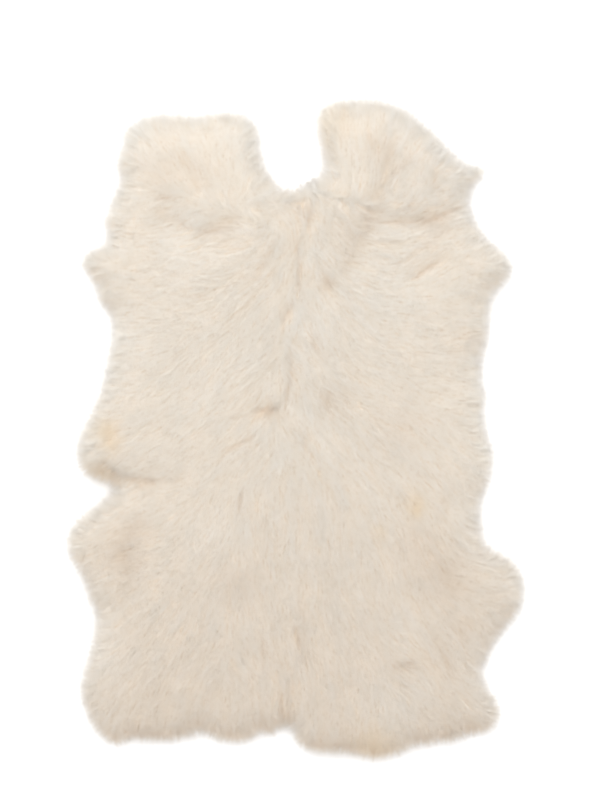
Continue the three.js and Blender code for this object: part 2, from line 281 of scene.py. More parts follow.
class Ground:
    """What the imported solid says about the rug, on an even grid: the coat's height above the
    floor, the distance in from the edge (below 0 outside it), the way the hair points, and how
    calm it is: 0 where the hair has no one way to lie, and 1 where it lies all one way."""

    def __init__(self):
        """Reads the solid and combs the coat."""
        low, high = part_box("pelt")
        self.low = np.array(low[:2]) - GRID_MARGIN
        size = np.array(high[:2]) + GRID_MARGIN - self.low
        self.count = np.ceil(size / GRID_STEP).astype(int) + 1
        axes = [self.low[i] + GRID_STEP * np.arange(self.count[i]) for i in (0, 1)]
        self.spots = np.stack(np.meshgrid(*axes), axis=-1)
        points, triangles = solid_mesh()
        self.inset = self.edge_distance(outline_of(points, triangles))
        self.crease = self.creased()
        self.height = self.coat_height(points, triangles)
        self.inward = unit(np.stack(np.gradient(self.inset, GRID_STEP)[::-1], axis=-1))
        self.slope = np.stack(np.gradient(self.height, GRID_STEP)[::-1], axis=-1)
        self.flow = self.combed()
        self.streak = sum(strength * self.drawn_out(*rest) for strength, *rest in STREAKS)

    def edge_distance(self, rim):
        """Distance in from the rim at every grid spot, below 0 outside the rug."""
        nearest = np.full(self.spots.shape[:2], np.inf)
        inside = np.zeros(self.spots.shape[:2], bool)
        x, y = self.spots[..., 0], self.spots[..., 1]
        for start, end in rim:
            span = end - start
            nearest = np.minimum(nearest, self.distance_to(start, end))
            if start[1] != end[1]:
                crosses = (start[1] > y) != (end[1] > y)
                at = start[0] + span[0] * (y - start[1]) / span[1]
                inside ^= crosses & (at > x)
        return np.where(inside, nearest, -nearest)

    def distance_to(self, start, end):
        """Distance of every grid spot from the straight line between two spots."""
        span = end - start
        away = self.spots - start
        along = np.clip(away @ span / (span @ span), 0, 1)
        return np.linalg.norm(away - along[..., None] * span, axis=-1)

    def creased(self):
        """How deep the coat's creases are at every grid spot, from 0 to 1."""
        depth = np.zeros(self.spots.shape[:2])
        for strength, *chain in CREASES:
            spots = np.array(chain) * MM
            for start, end in zip(spots[:-1], spots[1:]):
                near = np.exp(-((self.distance_to(start, end) / CREASE_WIDTH) ** 2))
                depth = np.maximum(depth, strength * near)
        return depth

    def coat_height(self, points, triangles):
        """Height of the solid's upper face, softened so that its facets don't show. Works out
        how deep the coat's hollows are, too, for the painted shade there."""
        tree = BVHTree.FromPolygons(points.tolist(), triangles.tolist())
        height = np.full(self.spots.shape[:2], RIM_HEIGHT)
        top = float(points[:, 2].max()) + 0.01
        for row, column in np.argwhere(self.inset > 0):
            x, y = self.spots[row, column]
            hit = tree.ray_cast((x, y, top), (0, 0, -1))[0]
            if hit is not None:
                height[row, column] = hit.z
        fine, broad = blurred(height, FINE_BLUR), blurred(height, BROAD_BLUR)
        within = smooth_step((self.inset - 8 * MM) / (10 * MM))
        # Painted shade: how much lower the coat lies than around it, which darkens and warms its
        # hair.
        self.hollow_shade = within * np.clip((broad - fine) / WHOLE_HOLLOW, 0, 1)
        height = fine + 0.8 * within * (broad - fine) - CREASE_DIP * self.crease
        outside = np.clip(-self.inset / (4 * MM), 0, 1)
        return height * (1 - 0.8 * outside)

    def combed(self):
        """Unit vectors of the way the hair points. Works out how calm the coat is, too."""
        rows = np.array([row for part in COMB.values() for row in part], float)
        flow = np.zeros(self.spots.shape)
        for x, y, heading in rows:
            away = self.spots - np.array([x, y]) * MM
            gap = (away**2).sum(-1)
            weight = np.exp(-0.5 * gap / COMB_REACH**2) + 1e-12 / (gap + 1e-6)
            angle = math.radians(heading)
            flow += weight[..., None] * np.array([math.cos(angle), math.sin(angle)])
        flow = unit(flow)
        wander = sum(np.radians(turn) * self.noise(size * MM, seed) for turn, size, seed in WANDER)
        ruffle = self.noise(RUFFLE_SIZE, RUFFLE_SEED)
        for x, y, reach, turn in RUFFLED:
            wander += nearness(self.spots, x, y, reach) * math.radians(turn) * ruffle
        flow = turned(flow, wander)
        leaving = LEAVING_SHARE * (1 - smooth_step(self.inset / LEAVING_REACH))[..., None]
        flow = unit(flow * (1 - leaving) - self.inward * leaving)
        together = np.stack([blurred(flow[..., axis], 3) for axis in (0, 1)], axis=-1)
        self.calm = smooth_step((np.linalg.norm(together, axis=-1) - 0.3) / 0.5)
        return flow

    def drawn_out(self, blur, length, seed):
        """Noise drawn out along the hair, with a spread of 1: streaks of a given length in
        millimetres, and about as wide as the blur, in grid steps."""
        rng = np.random.default_rng(seed)
        grain = blurred(rng.normal(size=self.spots.shape[:2]), blur)
        total = grain.copy()
        step = 0.8 * GRID_STEP
        for way in (step, -step):
            places = self.spots.copy()
            for _ in range(int(length * MM / 2 / step)):
                places += way * self.read(self.flow, places)
                total += self.read(grain, places)
        total -= blurred(total, 6)
        return total / total[self.inset > 0].std()

    def noise(self, cell, seed):
        """Smooth noise from about -1 to 1 on the grid, with bumps about a cell across."""
        rng = np.random.default_rng(seed)
        place = (self.spots - self.low) / cell
        base = np.floor(place).astype(int)
        share = smooth_step(place - base)
        knots = rng.uniform(-1, 1, (base[..., 1].max() + 2, base[..., 0].max() + 2))
        return between(knots, base, share)

    def read(self, grid, places):
        """The grid's values at places, between its spots."""
        at = np.clip((places - self.low) / GRID_STEP, 0, self.count - 1.001)
        base = at.astype(int)
        return between(grid, base, at - base)


def solid_mesh():
    """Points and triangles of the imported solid, with doubled points merged."""
    mesh = SOLID.data
    mesh.calc_loop_triangles()
    points = np.empty(len(mesh.vertices) * 3)
    mesh.vertices.foreach_get("co", points)
    triangles = np.empty(len(mesh.loop_triangles) * 3, int)
    mesh.loop_triangles.foreach_get("vertices", triangles)
    points, same = np.unique(np.round(points.reshape(-1, 3), 6), axis=0, return_inverse=True)
    return points, same.reshape(-1)[triangles].reshape(-1, 3)


def outline_of(points, triangles):
    """The rim of the underside, as pairs of flat points."""
    a, b, c = (points[triangles[:, i]] for i in range(3))
    facing = unit(np.cross(b - a, c - a))
    under = triangles[facing[:, 2] < -0.9]
    edges = np.sort(under[:, [[0, 1], [1, 2], [2, 0]]].reshape(-1, 2), axis=1)
    edges, uses = np.unique(edges, axis=0, return_counts=True)
    return points[edges[uses == 1]][:, :, :2]


ground = Ground()


# ---- meshes ----


def placed(name, data):
    """A new object in the scene."""
    obj = bpy.data.objects.new(name, data)
    bpy.context.scene.collection.objects.link(obj)
    return obj


def mesh_object(name, points, faces):
    """An object from points and faces; a face with -1 at its end is a triangle."""
    mesh = bpy.data.meshes.new(name)
    sizes = (faces >= 0).sum(axis=1)
    corners = faces[faces >= 0]
    mesh.vertices.add(len(points))
    mesh.vertices.foreach_set("co", np.ascontiguousarray(points, np.float32).ravel())
    mesh.loops.add(len(corners))
    mesh.loops.foreach_set("vertex_index", corners.astype(np.int32))
    mesh.polygons.add(len(faces))
    mesh.polygons.foreach_set("loop_start", (np.cumsum(sizes) - sizes).astype(np.int32))
    mesh.update(calc_edges=True)
    mesh.polygons.foreach_set("use_smooth", np.ones(len(faces), bool))
    return placed(name, mesh)


def set_values(obj, name, values):
    """Keeps one number for each point of the mesh under name."""
    layer = obj.data.attributes.new(name, "FLOAT", "POINT")
    layer.data.foreach_set("value", np.ascontiguousarray(values, np.float32).ravel())


def patch(inset, cell):
    """Square cells over the rug, further in than inset, their border drawn onto that line.
    Gives flat points, the corners of each cell, and the border's edges."""
    low, high = ground.spots[0, 0], ground.spots[-1, -1]
    xs = np.arange(low[0], high[0], cell)
    ys = np.arange(low[1], high[1], cell)
    places = np.stack(np.meshgrid(xs, ys), axis=-1)
    inside = ground.read(ground.inset, places) > inset - 0.4 * cell
    kept = inside[:-1, :-1] & inside[1:, :-1] & inside[:-1, 1:] & inside[1:, 1:]
    index = np.arange(inside.size).reshape(inside.shape)
    corners = [index[:-1, :-1], index[:-1, 1:], index[1:, 1:], index[1:, :-1]]
    cells = np.stack([corner[kept] for corner in corners], axis=-1)
    used, cells = np.unique(cells, return_inverse=True)
    cells = cells.reshape(-1, 4)
    flat = places.reshape(-1, 2)[used]
    edges = cells[:, [[0, 1], [1, 2], [2, 3], [3, 0]]].reshape(-1, 2)
    both_ways = np.sort(edges, axis=1)
    _, first, uses = np.unique(both_ways, axis=0, return_index=True, return_counts=True)
    border = edges[first[uses == 1]]
    rim = np.unique(border)
    for _ in range(3):
        short = inset - ground.read(ground.inset, flat[rim])
        flat[rim] += ground.read(ground.inward, flat[rim]) * short[:, None]
    return flat, cells, border


def slab(name, flat, cells, border, bottom, top):
    """A closed body over a patch, between the heights bottom and top at its points."""
    count = len(flat)
    points = np.concatenate([np.column_stack([flat, top]), np.column_stack([flat, bottom])])
    start, end = border[:, 0], border[:, 1]
    wall = np.stack([start, start + count, end + count, end], axis=-1)
    return mesh_object(name, points, np.concatenate([cells, cells[:, ::-1] + count, wall]))


def finish_piece(obj, material):
    """The piece gets its material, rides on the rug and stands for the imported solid."""
    obj.data.materials.append(material)
    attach(obj, BODY)
    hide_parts("pelt")


# ---- materials ----


def set_inputs(node, values):
    """Sets a node's inputs, by name."""
    for name, value in values.items():
        node.inputs[name].default_value = value


class Nodes:
    """Builds one material's nodes with short calls."""

    def __init__(self, name):
        """A new material with a Principled shader and nothing else."""
        self.material = bpy.data.materials.new(name)
        self.material.use_nodes = True
        self.tree = self.material.node_tree
        self.tree.nodes.clear()
        self.output = self.tree.nodes.new("ShaderNodeOutputMaterial")
        self.shader = self.tree.nodes.new("ShaderNodeBsdfPrincipled")
        self.link(self.shader.outputs["BSDF"], self.output.inputs["Surface"])

    def link(self, source, target):
        """Joins an output to an input."""
        self.tree.links.new(source, target)

    def add(self, kind, **settings):
        """A node of that kind, with its own settings."""
        node = self.tree.nodes.new(kind)
        for key, value in settings.items():
            setattr(node, key, value)
        return node

    def value(self, name):
        """A number kept on the mesh."""
        kind = "ShaderNodeAttribute"
        return self.add(kind, attribute_name=name, attribute_type="GEOMETRY").outputs["Fac"]

    def noise(self, scale, detail):
        """Noise of a given scale, per metre."""
        node = self.add("ShaderNodeTexNoise")
        set_inputs(node, {"Scale": scale, "Detail": detail})
        self.link(self.add("ShaderNodeTexCoord").outputs["Object"], node.inputs["Vector"])
        return node.outputs["Fac"]

    def ranged(self, source, low, high, to_low, to_high):
        """The source's range low to high brought to to_low to to_high."""
        node = self.add("ShaderNodeMapRange")
        limits = {"From Min": low, "From Max": high, "To Min": to_low, "To Max": to_high}
        set_inputs(node, limits)
        self.link(source, node.inputs["Value"])
        return node.outputs["Result"]

    def blend(self, share, first, second):
        """Two colours mixed; either may be a colour or an output."""
        node = self.add("ShaderNodeMix", data_type="RGBA")
        for key, value in (("Factor", share), ("A", first), ("B", second)):
            sockets = [s for s in node.inputs if s.name == key and s.enabled]
            if isinstance(value, bpy.types.NodeSocket):
                self.link(value, sockets[0])
            else:
                sockets[0].default_value = (*value, 1.0)
        return next(s for s in node.outputs if s.name == "Result" and s.enabled)

    def let_through(self, colour, share):
        """Lets a share of the light through to the far side, as a fine hair does."""
        through = self.add("ShaderNodeBsdfTranslucent")
        self.link(colour, through.inputs["Color"])
        mix = self.add("ShaderNodeMixShader")
        set_inputs(mix, {"Fac": share})
        self.link(self.shader.outputs["BSDF"], mix.inputs[1])
        self.link(through.outputs["BSDF"], mix.inputs[2])
        self.link(mix.outputs["Shader"], self.output.inputs["Surface"])

    def times(self, source, factor):
        """The source's number multiplied by a factor."""
        node = self.add("ShaderNodeMath", operation="MULTIPLY")
        self.link(source, node.inputs[0])
        node.inputs[1].default_value = factor
        return node.outputs[0]

    def bump(self, height, strength, distance):
        """Raises the surface's shading by a height."""
        node = self.add("ShaderNodeBump")
        set_inputs(node, {"Strength": strength, "Distance": distance})
        self.link(height, node.inputs["Height"])
        self.link(node.outputs["Normal"], self.shader.inputs["Normal"])


def hair_material(colours):
    """Guard hair: paler to the tip, each hair a little its own tone, with the coat's marks, and
    with painted shade and painted light.
    """
    nodes = Nodes("rabbit_hair")
    along = nodes.value("along")
    hair = nodes.blend(nodes.ranged(along, 0.15, 0.95, 0.0, 1.0), colours.root, colours.tip)
    broad = nodes.ranged(nodes.noise(22.0, 2.0), 0.3, 0.7, 0.0, 0.4)
    hair = nodes.blend(broad, hair, colours.shade)
    warm = nodes.ranged(nodes.value("tone"), 0.0, 1.0, 0.5, 0.0)
    hair = nodes.blend(warm, hair, colours.warm)
    # Painted shade: darker, warmer hair in the hollows, in the creases and on the edges facing the
    # rump, and greyer hair at the rim and the neck end. Painted light: paler hair along the long
    # sides.
    shares = {"hollow_shade": 0.25, "tan": 0.8, "pale_and_lit": 0.5, "yellow": 0.4, "painted_shade": 0.9}
    for name, share in shares.items():
        hair = nodes.blend(nodes.times(nodes.value(name), share), hair, getattr(colours, name))
    nodes.link(hair, nodes.shader.inputs["Base Color"])
    set_inputs(nodes.shader, {"Roughness": 0.62, "Specular IOR Level": 0.25})
    set_inputs(nodes.shader, {"Sheen Weight": 0.15, "Sheen Roughness": 0.5})
    set_inputs(nodes.shader, {"Sheen Tint": (1.0, 0.96, 0.9, 1.0)})
    nodes.let_through(hair, 0.58)
    return nodes.material


def down_material(colours):
    """Down: short matt fluff between the roots of the hair, its colour darkened as painted shade
    of the deep coat.
    """
    nodes = Nodes("rabbit_down")
    mottle = nodes.ranged(nodes.noise(420.0, 4.0), 0.35, 0.65, 0.0, 1.0)
    fluff = nodes.blend(mottle, colours.down, colours.down_shade)
    nodes.link(fluff, nodes.shader.inputs["Base Color"])
    nodes.bump(nodes.noise(700.0, 4.0), 0.6, 0.6 * MM)
    set_inputs(nodes.shader, {"Roughness": 0.95, "Specular IOR Level": 0.1})
    set_inputs(nodes.shader, {"Sheen Weight": 0.3, "Sheen Roughness": 0.6})
    return nodes.material


def skin_material(colours):
    """The flesh side: pale tanned suede with soft blotches and a fine nap."""
    nodes = Nodes("tanned_skin")
    blotch = nodes.ranged(nodes.noise(38.0, 5.0), 0.3, 0.7, 0.0, 1.0)
    skin = nodes.blend(blotch, colours.skin, colours.skin_shade)
    nap = nodes.ranged(nodes.noise(900.0, 3.0), 0.3, 0.7, 0.0, 0.18)
    skin = nodes.blend(nap, skin, colours.tip)
    nodes.link(skin, nodes.shader.inputs["Base Color"])
    nodes.bump(nodes.noise(520.0, 6.0), 0.35, 0.3 * MM)
    set_inputs(nodes.shader, {"Roughness": 0.85, "Specular IOR Level": 0.3})
    return nodes.material


# ---- hair ----


class Clumps:
    """Centres on a jittered grid that nearby hairs gather round, each with numbers of its own."""

    def __init__(self, spacing, seed):
        """Spreads the centres over the rug."""
        self.spacing = spacing
        self.low = ground.low - 2 * spacing
        span = ground.spots[-1, -1] + 2 * spacing - self.low
        self.shape = np.ceil(span / spacing).astype(int) + 1
        self.rng = np.random.default_rng(seed)
        columns, rows = np.meshgrid(np.arange(self.shape[0]), np.arange(self.shape[1]))
        cells = np.stack([columns, rows], axis=-1).reshape(-1, 2)
        self.centres = self.low + (cells + self.rng.uniform(0.1, 0.9, cells.shape)) * spacing

    def own(self, spread):
        """One number for each centre, spread evenly about 0."""
        return self.rng.uniform(-spread, spread, len(self.centres))

    def nearest(self, places):
        """The index of the centre nearest to each place."""
        cell = np.floor((places - self.low) / self.spacing).astype(int)
        best = np.zeros(len(places), int)
        gap = np.full(len(places), np.inf)
        for right in (-1, 0, 1):
            for up in (-1, 0, 1):
                near = np.clip(cell + (right, up), 0, self.shape - 1)
                index = near[:, 1] * self.shape[0] + near[:, 0]
                away = ((places - self.centres[index]) ** 2).sum(-1)
                best = np.where(away < gap, index, best)
                gap = np.minimum(away, gap)
        return best


# How far in from the edge the hairs stand closest, its rim reaches, and its border reaches.
DENSE_EDGE, RIM_REACH, BORDER_REACH = 7 * MM, 12 * MM, 28 * MM

# How far tufts, locks and single hairs turn, and how far a tuft pulls its locks along.
TUFT_TURN, LOCK_TURN, STRAY = math.radians(8), math.radians(5), 0.08
TUFT_PULL = 0.25

# Wisps are locks that draw together and stand up: the least number of such a lock, how far its
# tips gather, and how much less both are at the rim.
WISP_FROM, WISP_GATHER, WISP_RIM = 0.84, 0.8, 0.3

# Where a hair ends: how many spots on it are looked at, how far hairs go past the edge, usually
# (in millimetres) and at most, and how deep the creases are that part them.
CHECKED_SPOTS = 12
OVERHANG, MOST_OVERHANG = 3.4, 8.0 * MM
PARTING = (0.35, 1.5)

# How high a tip stands over the coat, in millimetres: every hair, with its streak, chance and
# tuft; a wisp, with its spread and the rim; a guard hair; and the most that a loose hair may.
LIFT, STREAK_LIFT, LIFT_CHANCE, TUFT_LIFT = 0.5, 0.25, (-0.2, 0.4), 0.6
WISP_LIFT, WISP_SPREAD, RIM_LIFT = 1.6, 1.2, 1.5
GUARD_LIFT, MOST_LIFT = (0.1, 0.8, 2.6), 3.0
FLOOR_GAP = 0.35 * MM

# A hair's line goes so many steps back from its middle and on. Its ribbon has stations at shares
# of that, with two points at each but the tip.
STEPS_BACK, STEPS_ON = 3, 2
STEPS = STEPS_BACK + STEPS_ON
STATIONS = np.array([0.0, 0.55, 1.0])
WIDTHS = np.array([0.8, 1.0])
POINTS_A_HAIR = 5
HAIR_FACES = np.array([[1, 3, 2, 0], [3, 4, 2, -1]])


def paths_through(places, turn, length):
    """Lines of a given length that follow the combed coat and pass through places on the way.
    They run straight on where the coat has no one way to lie."""
    step = length / STEPS
    first = ground.read(ground.flow, places)

    def heading(here):
        """The way that the hair runs on from here."""
        calm = np.minimum(ground.read(ground.calm, places), ground.read(ground.calm, here))
        flow = ground.read(ground.flow, here)
        return turned(unit(flow * calm[:, None] + first * (1 - calm[:, None])), turn)

    ahead, back = [places], [places]
    for _ in range(STEPS_ON):
        ahead.append(ahead[-1] + heading(ahead[-1]) * step)
    for _ in range(STEPS_BACK):
        back.append(back[-1] - heading(back[-1]) * step)
    return np.stack(back[:0:-1] + ahead, axis=1)


def along_paths(paths, share):
    """Places at a share of the way along each path; share has a column for each place."""
    at = np.clip(share * STEPS, 0, STEPS - 1e-6)
    base = at.astype(int)
    rest = (at - base)[..., None]
    row = np.arange(len(paths))[:, None]
    return paths[row, base] * (1 - rest) + paths[row, base + 1] * rest


def scattered(count, rng):
    """Places spread over the rug, closer together along its edge."""
    low, high = ground.spots[0, 0], ground.spots[-1, -1]
    places = rng.uniform(low, high, (count * 3, 2))
    inset = ground.read(ground.inset, places)
    chance = np.where(inset < DENSE_EDGE, 1.0, 0.6)
    places = places[(inset > 0) & (rng.uniform(0, 1, len(places)) < chance)]
    if len(places) < count:
        raise RuntimeError("too few places for the hairs")
    return places[:count]


def lock_lines(tufts, locks, home, length):
    """The line that each lock runs along, drawn a little to that of its tuft."""
    tuft_turn = tufts.own(TUFT_TURN)
    tuft_paths = paths_through(tufts.centres, tuft_turn, length)
    lock_turn = tuft_turn[home] + locks.own(LOCK_TURN)
    lock_paths = paths_through(locks.centres, lock_turn, length)
    pull = (TUFT_PULL * np.linspace(0, 1, STEPS + 1))[None, :, None]
    gathered = tuft_paths[home] + (locks.centres - tufts.centres[home])[:, None]
    return lock_paths * (1 - pull) + gathered * pull


def free_run(places, count, rng):
    """How much of its way each hair can go before it is too far past the edge or parted."""
    spots = places(np.linspace(0, 1, CHECKED_SPOTS + 1))
    limit = np.maximum(-rng.exponential(OVERHANG, count) * MM, -MOST_OVERHANG)
    stopped = ground.read(ground.inset, spots) < limit[:, None]
    stopped[:, 0] = False
    parted = ground.read(ground.crease, spots) > rng.uniform(*PARTING, count)[:, None]
    stopped[:, 1:] |= parted[:, 1:] & ~parted[:, :-1]
    run = np.where(stopped.any(axis=1), stopped.argmax(axis=1) - 0.5, CHECKED_SPOTS)
    return run / CHECKED_SPOTS


def ribbon_frames(points, middles, rim, softness, rng):
    """The side and the shading normal of each hair's ribbon, at its stations."""
    flat, count = points[..., :2], len(points)
    slope = ground.read(ground.slope, flat) * (0.8 - 0.5 * rim)[:, None, None]
    normal = unit(np.concatenate([-slope, np.ones((*slope.shape[:2], 1))], axis=-1))
    tangent = unit(np.gradient(points, axis=1))
    ahead = 2 * MM * ground.read(ground.flow, middles)
    ahead += flat[:, 2] - flat[:, 0]
    ahead = np.column_stack([ahead, np.zeros(count)])
    side = unit(np.cross(normal, ahead[:, None]))
    up = unit(np.cross(tangent, side))
    twist = np.radians(rng.uniform(-35, 35, count))[:, None, None]
    across = side * np.cos(twist) + up * np.sin(twist)
    facing = up * np.cos(twist) - side * np.sin(twist)
    return across, unit(facing * (1 - softness) + normal * softness)


def grow_hairs(sizes):
    """Every hair of the coat: its stations, ribbon sides, normals and own numbers."""
    rng = np.random.default_rng(5)
    tufts = Clumps(sizes.tuft_spacing, 21)
    locks = Clumps(sizes.lock_spacing, 22)
    home = tufts.nearest(locks.centres)
    lock_paths = lock_lines(tufts, locks, home, sizes.hair_length)

    middles = scattered(sizes.hair_count, rng)
    lock = locks.nearest(middles)
    tuft = home[lock]
    paths = lock_paths[lock]
    offset = middles - locks.centres[lock]
    count = len(middles)
    guard = rng.uniform(0, 1, count) < sizes.guard_share
    reach = rng.uniform(0.72, 1.0, count) - 0.08 + locks.own(0.08)[lock]

    stray = rng.normal(0, STRAY, count)
    rim = near_edge(middles, 0, RIM_REACH)
    wisp = locks.own(1.0)[lock] > WISP_FROM - WISP_RIM * rim
    gather = np.where(wisp, WISP_GATHER - WISP_RIM * rim, sizes.gather)

    def places(stations):
        """Where the hair runs at stations from 0 at the root to 1 at the tip."""
        drawn = 1 - gather[:, None] * stations**1.2
        lines = along_paths(paths, stations * reach[:, None])
        from_middle = lines - lines[:, len(stations) // 2][:, None]
        sideways = turned(from_middle, math.pi / 2) * stray[:, None, None]
        return lines + sideways + offset[:, None] * drawn[..., None]

    reach = reach * np.maximum(free_run(places, count, rng), 0.15)

    flat = places(STATIONS)
    height = ground.read(ground.height, flat)
    falls = np.maximum(height[:, 1:2] - height, 0) * (STATIONS > 0.5)
    kept = 0.5 + 0.35 * tufts.own(1.0)[tuft] + 0.15 * locks.own(1.0)[lock]
    height = height + falls * (rim * kept)[:, None]
    deep = np.minimum(sizes.root_depth, 0.62 * height[:, :1])
    deep *= 0.15 + 0.85 * ground.read(ground.calm, middles)[:, None]

    border = near_edge(middles, 0, BORDER_REACH)
    loose = 1 - 0.6 * marked(SLEEK, middles) * (1 - border) + 0.25 * border
    streak = ground.read(ground.streak, middles) * loose
    lift = LIFT * MM + STREAK_LIFT * MM * streak + rng.uniform(*LIFT_CHANCE, count) * loose * MM
    lift += TUFT_LIFT * MM * tufts.own(1.0)[tuft]
    lift += wisp * loose * (WISP_LIFT + locks.own(WISP_SPREAD)[lock] + RIM_LIFT * rim) * MM
    lift += guard * loose * rng.triangular(*GUARD_LIFT, count) * MM
    lift = lift[:, None]
    lift = np.minimum(lift, 0.35 * height + (guard | wisp)[:, None] * MOST_LIFT * MM)
    rise = -deep * (1 - STATIONS) ** 1.5 + lift * STATIONS**1.4
    points = np.concatenate([flat, np.maximum(height + rise, FLOOR_GAP)[..., None]], axis=-1)
    across, facing = ribbon_frames(points, middles, rim, sizes.softness, rng)

    width = sizes.hair_width * rng.uniform(0.75, 1.25, count) * np.where(guard, 0.5, 1.0)
    tone = np.clip(0.5 + 0.2 * streak + rng.uniform(-0.2, 0.2, count) * loose, 0, 1)
    return {
        "points": points,
        "across": across,
        "facing": facing,
        "width": width,
        "tone": tone,
        # Painted shade in the hollows, from the depth at the hair's middle.
        "hollow_shade": ground.read(ground.hollow_shade, flat[:, 1]),
        "yellow": marked(YELLOW_MARKS, flat[:, 1]),
        "tan": tan_and_shade_at(flat),
        "painted_shade": painted_shade_at(flat),
        "pale_and_lit": pale_and_lit_at(flat[:, 1]),
    }


def marked(marks, flat):
    """How strong the marks are at flat places, from 0 to 1."""
    total = np.zeros(flat.shape[:-1])
    for x, y, reach, strength in marks:
        total += strength * nearness(flat, x, y, reach)
    return np.clip(total, 0, 1)


def near_edge(flat, start, reach):
    """1 outside a line that is start in from the edge, and down to 0 over a reach from there."""
    return 1 - smooth_step((ground.read(ground.inset, flat) - start) / reach)


def tan_and_shade_at(flat):
    """How tan the hair is: in its marks, more towards the rump, and as painted shade in the
    creases and on the edges that face the rump.
    """
    towards_rump = smooth_step((40 * MM - flat[..., 1]) / (260 * MM))
    facing_rump = np.clip(ground.read(ground.inward, flat)[..., 1], 0, 1)
    # Painted shade: the rim that faces the rump, away from the lamp, is darker and warmer.
    edge = facing_rump * near_edge(flat, -2 * MM, 14 * MM)
    # Painted shade: the creases are darker and warmer.
    parted = 0.9 * ground.read(ground.crease, flat)
    return np.clip(marked(TAN_MARKS, flat) + 0.28 * towards_rump + 0.85 * edge + parted, 0, 1)


def painted_shade_at(flat):
    """How grey the painted shade makes the hair: in its marks, at the thin rim, and along the neck
    end.
    """
    facing_neck = np.clip(-ground.read(ground.inward, flat)[..., 1], 0, 1)
    # Painted shade: the thin hair at the rim, which the floor lights, and the edge at the neck
    # end, which faces the lamp, are greyer.
    rim = near_edge(flat, -2.5 * MM, 4.5 * MM)
    edge = facing_neck * near_edge(flat, 0, 22 * MM)
    return np.clip(marked(PAINTED_SHADE_MARKS, flat) + 0.9 * rim + 0.2 * edge, 0, 1)


def pale_and_lit_at(flat):
    """How pale the hair is: in its marks, and as painted light along the two long sides."""
    sideways = np.abs(ground.read(ground.inward, flat)[..., 0])
    # Painted light: the long sides, shaded by their looser hair, are made paler.
    edge = sideways * near_edge(flat, 2 * MM, 22 * MM)
    return np.clip(marked(PALE_MARKS, flat) + 0.6 * edge, 0, 1)


def ribbon_piece(name, hairs, chosen, material):
    """One piece of the coat: each chosen hair is a flat ribbon that narrows to its tip."""
    hairs = {key: values[chosen] for key, values in hairs.items()}
    points = hairs["points"]
    count = len(points)
    half = 0.5 * hairs["width"][:, None, None] * WIDTHS[None, :, None] * hairs["across"][:, :-1]
    left, right = points[:, :-1] + half, points[:, :-1] - half
    corners = np.stack([left, right], axis=2).reshape(count, POINTS_A_HAIR - 1, 3)
    corners = np.concatenate([corners, points[:, -1:]], axis=1)
    faces = HAIR_FACES[None] + POINTS_A_HAIR * np.arange(count)[:, None, None]
    faces = np.where(HAIR_FACES[None] < 0, -1, faces).reshape(-1, 4)
    obj = mesh_object(name, corners.reshape(-1, 3), faces)

    normals = both_sides(hairs["facing"]).reshape(-1, 3)
    obj.data.normals_split_custom_set_from_vertices(normals)
    set_values(obj, "along", both_sides(np.tile(STATIONS, (count, 1))))
    for value in ("tan", "painted_shade"):
        set_values(obj, value, both_sides(hairs[value]))
    for value in ("tone", "hollow_shade", "yellow", "pale_and_lit"):
        set_values(obj, value, np.repeat(hairs[value], POINTS_A_HAIR))
    hair_map(obj, count, faces)
    finish_piece(obj, material)
    return obj


def both_sides(values):
    """What each station has, for both points of the ribbon there, and once for the tip."""
    return np.repeat(values, 2, axis=1)[:, :POINTS_A_HAIR]


def hair_map(obj, count, faces):
    """A map for the hairs: each has a narrow upright strip, in rows over the whole square."""
    columns = math.ceil(math.sqrt(count * 4.0))
    rows = math.ceil(count / columns)
    index = np.arange(count)
    low = np.stack([(index % columns) / columns, (index // columns) / rows], axis=-1)
    across = np.array([0.2, 0.8, 0.2, 0.8, 0.5]) / columns
    upward = (0.05 + 0.9 * both_sides(STATIONS[None])[0]) / rows
    places = low[:, None] + np.stack([across, upward], axis=-1)[None]
    corners = faces[faces >= 0]
    layer = obj.data.uv_layers.new(name="OFBake")
    layer.data.foreach_set("uv", places.reshape(-1, 2)[corners].astype(np.float32).ravel())


def coat_parts(points):
    """The hairs of each piece of the coat: five bands from the shoulders to the rump, with even
    numbers of hairs."""
    roots = points[:, 0]
    order = np.argsort(-roots[:, 1], kind="stable")
    names = ("coat_shoulders", "coat_ribs", "coat_loin", "coat_haunches", "coat_rump")
    return dict(zip(names, np.array_split(order, len(names))))


# ---- the add-on ----


def length_property(name, description, default):
    """A length that the user can change."""
    return FloatProperty(name=name, description=description, default=default, unit="LENGTH")


def share_property(name, description, default):
    """A share from 0 to 1 that the user can change."""
    words = {"name": name, "description": description}
    return FloatProperty(**words, default=default, subtype="FACTOR", min=0, max=1)


def colour_property(name, part, default):
    """The colour of a part, which the user can change."""
    words = {"name": name, "description": f"Colour of {part}"}
    return FloatVectorProperty(**words, default=default, subtype="COLOR", size=3, min=0, max=1)


class RugSizes(bpy.types.PropertyGroup):
    """Sizes of the rug's parts."""

    skin_thickness: length_property("Skin thickness", "Thickness of the tanned skin", 1.2 * MM)
    skin_inset: length_property("Skin inset", "How far the hair reaches past the skin", 8 * MM)
    down_inset: length_property("Down inset", "How far the hair reaches past the down", 4.5 * MM)
    down_depth: length_property("Down depth", "How deep in the coat the down lies", 1.6 * MM)
    hair_length: length_property("Hair length", "Length of a hair above the down", 18 * MM)
    hair_width: length_property("Hair width", "Width of a strand at its widest", 0.28 * MM)
    gather: share_property("Gather", "How far a lock's hairs draw together at their tips", 0.25)
    guard_share: share_property("Guard hair", "Share of fine hairs that stand up", 0.25)
    root_depth: length_property("Root depth", "How deep in the coat hairs start", 4.2 * MM)
    lock_spacing: length_property("Lock spacing", "Distance between the fine locks", 1.8 * MM)
    tuft_spacing: length_property("Tuft spacing", "Distance between the broad tufts", 8 * MM)
    softness: share_property("Softness", "How evenly the coat takes the light", 0.95)
    hair_count: IntProperty(
        name="Hair count", description="Number of strands", default=295000, min=1000, max=300000
    )


